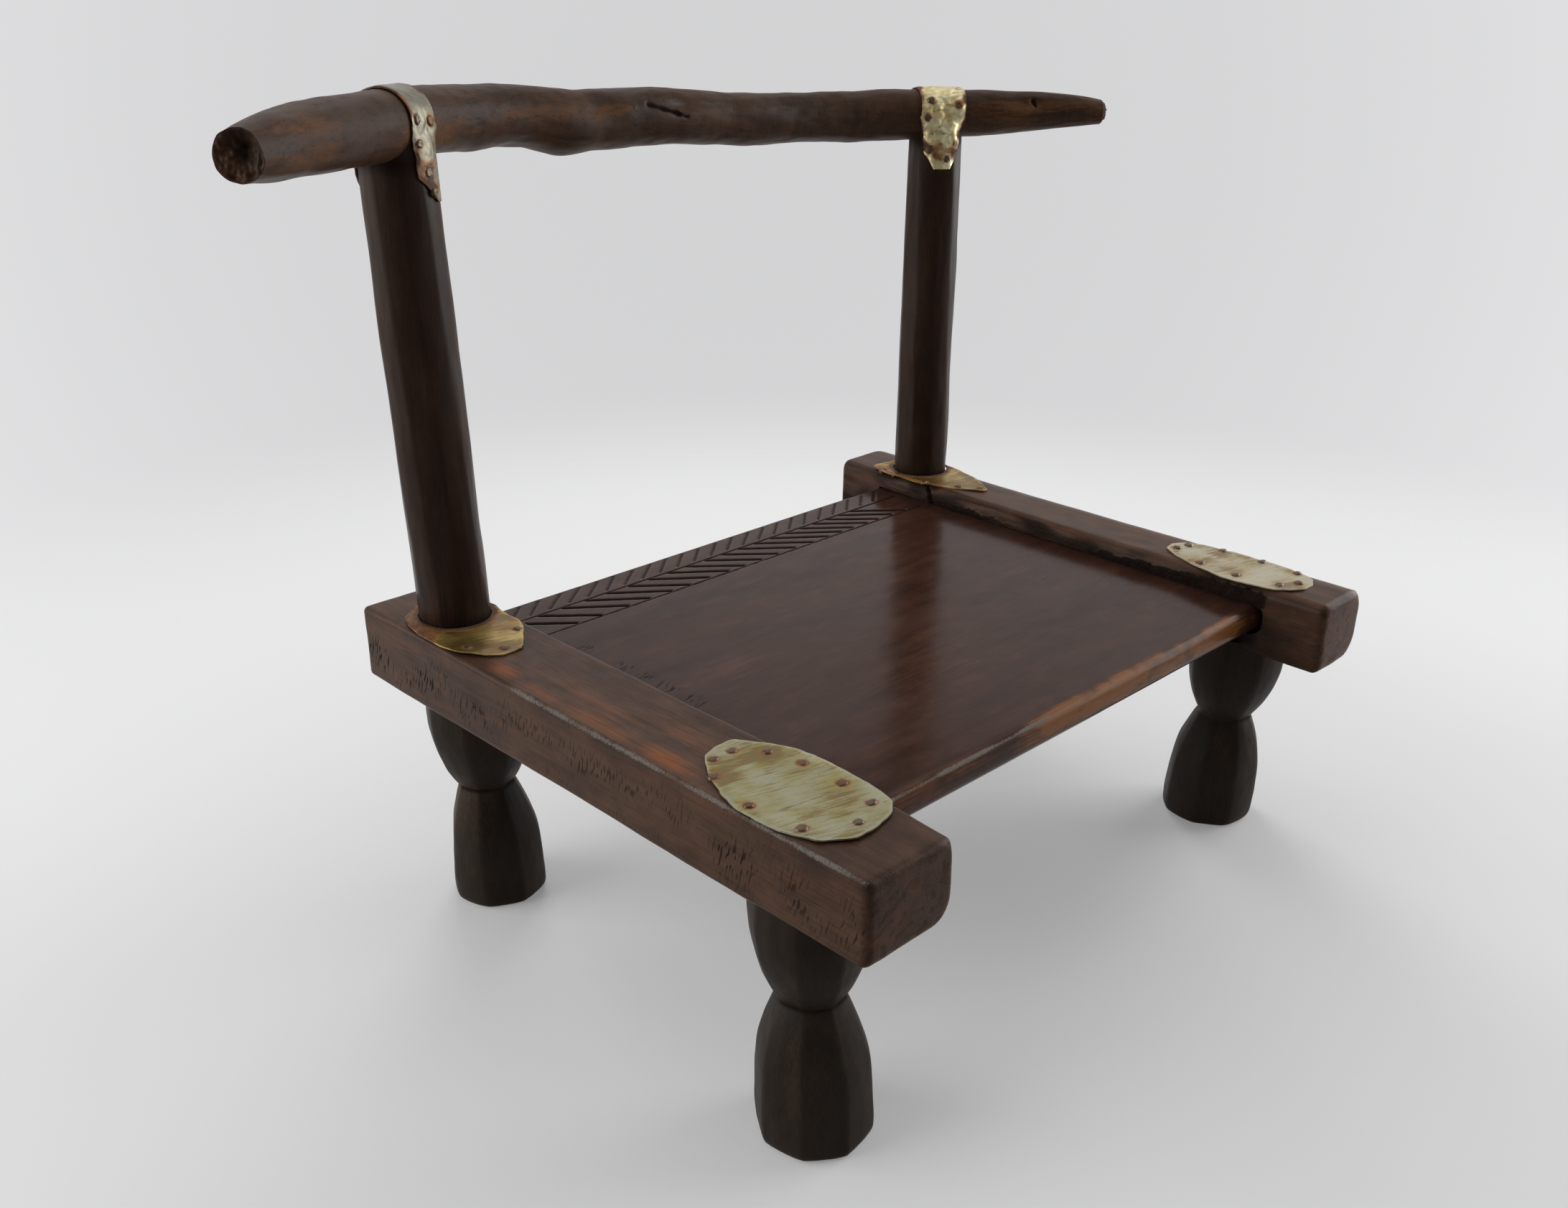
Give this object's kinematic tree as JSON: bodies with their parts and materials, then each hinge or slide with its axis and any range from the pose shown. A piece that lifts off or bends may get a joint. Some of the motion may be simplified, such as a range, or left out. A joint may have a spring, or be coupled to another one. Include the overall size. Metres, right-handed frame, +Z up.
{
  "type": "birthing stool",
  "caption": "Low wooden birthing stool: carved plank seat between hewn side rails, spool-shaped legs, posts and a bowed branch backrest, joints covered with nailed sheet metal.",
  "frame": {"origin": "on the floor, under the middle of the stool's own box", "axes": "+X to the right of someone who faces the stool, along the crest rail; +Y from the front of the seat to the back; +Z up"},
  "size_m": [0.7836, 0.4924, 0.5501],
  "materials": {
    "rail_wood": "hewn and worn, semi-gloss",
    "seat_wood": "polished by use",
    "leg_wood": "dark, softly faceted",
    "post_wood": "dark, smooth",
    "branch_wood": "natural branch, rubbed",
    "sheet_metal": "tarnished, with rust at the nails",
    "nail_iron": "rusted, hammered"
  },
  "bodies": {
    "root": {"left_side_rail": "rail_wood", "right_side_rail": "rail_wood", "seat_board": "seat_wood", "front_left_leg": "leg_wood", "front_right_leg": "leg_wood", "rear_left_leg": "leg_wood", "rear_right_leg": "leg_wood", "left_back_post": "post_wood", "right_back_post": "post_wood", "crest_rail": "branch_wood", "front_left_plate": "sheet_metal", "front_right_plate": "sheet_metal", "left_post_collar": "sheet_metal", "right_post_collar": "sheet_metal", "left_crest_strap": "sheet_metal", "right_crest_strap": "sheet_metal", "front_left_plate_nail_01": "nail_iron", "front_left_plate_nail_02": "nail_iron", "front_left_plate_nail_03": "nail_iron", "front_left_plate_nail_04": "nail_iron", "front_left_plate_nail_05": "nail_iron", "front_left_plate_nail_06": "nail_iron", "front_left_plate_nail_07": "nail_iron", "front_left_plate_nail_08": "nail_iron", "front_left_plate_nail_09": "nail_iron", "front_left_plate_nail_10": "nail_iron", "front_right_plate_nail_01": "nail_iron", "front_right_plate_nail_02": "nail_iron", "front_right_plate_nail_03": "nail_iron", "front_right_plate_nail_04": "nail_iron", "front_right_plate_nail_05": "nail_iron", "front_right_plate_nail_06": "nail_iron", "front_right_plate_nail_07": "nail_iron", "front_right_plate_nail_08": "nail_iron", "front_right_plate_nail_09": "nail_iron", "left_post_collar_nail_01": "nail_iron", "left_post_collar_nail_02": "nail_iron", "left_post_collar_nail_03": "nail_iron", "left_post_collar_nail_04": "nail_iron", "left_post_collar_nail_05": "nail_iron", "right_post_collar_nail_01": "nail_iron", "right_post_collar_nail_02": "nail_iron", "right_post_collar_nail_03": "nail_iron", "right_post_collar_nail_04": "nail_iron", "right_post_collar_nail_05": "nail_iron", "left_crest_strap_nail_01": "nail_iron", "left_crest_strap_nail_02": "nail_iron", "left_crest_strap_nail_03": "nail_iron", "left_crest_strap_nail_04": "nail_iron", "left_crest_strap_nail_05": "nail_iron", "right_crest_strap_nail_01": "nail_iron", "right_crest_strap_nail_02": "nail_iron", "right_crest_strap_nail_03": "nail_iron", "right_crest_strap_nail_04": "nail_iron", "right_crest_strap_nail_05": "nail_iron", "right_crest_strap_nail_06": "nail_iron", "right_crest_strap_nail_07": "nail_iron", "right_crest_strap_nail_08": "nail_iron"}
  },
  "joints": []
}
